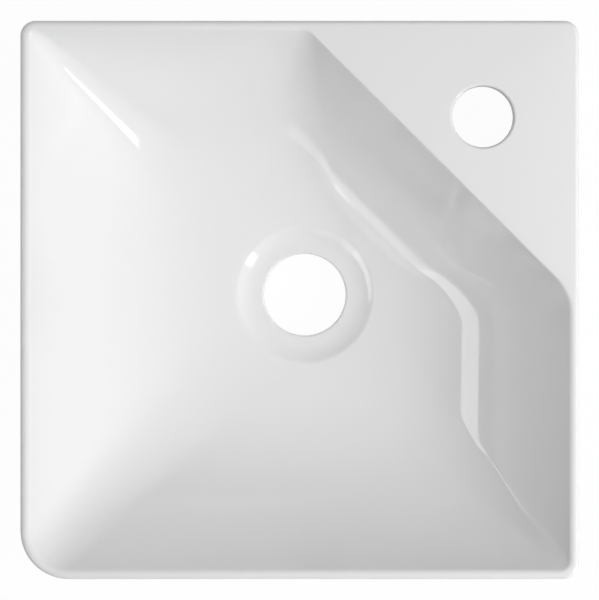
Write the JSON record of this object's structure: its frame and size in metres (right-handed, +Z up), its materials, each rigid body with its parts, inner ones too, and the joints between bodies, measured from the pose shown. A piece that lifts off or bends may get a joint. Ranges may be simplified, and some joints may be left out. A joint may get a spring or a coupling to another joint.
{
  "type": "corner hand basin",
  "caption": "Small square glazed ceramic basin for a room's corner, with a triangular tap deck, a round waste recess and concealed steel wall hangers.",
  "frame": {"origin": "centre of the 300 mm square plan, on the base plane that the waste boss and the flanges' feet share", "axes": "+Z up out of the bowl; +X and +Y towards the room's two walls, so the tap deck is at +X+Y and the free front corner at -X-Y; right and left are those of a person who faces the corner"},
  "size_m": [0.3, 0.3, 0.1],
  "materials": {
    "glazed_ceramic": "white gloss glaze",
    "plated_steel": "bright zinc plate on pressed steel",
    "pad_rubber": "matt moulded rubber",
    "nylon": "natural nylon"
  },
  "bodies": {
    "root": {"ceramic_basin": "glazed_ceramic", "right_wall_hanger": "plated_steel", "left_wall_hanger": "plated_steel", "right_hook_pad": "pad_rubber", "left_hook_pad": "pad_rubber", "right_anchor_sleeve": "nylon", "left_anchor_sleeve": "nylon"}
  },
  "joints": []
}
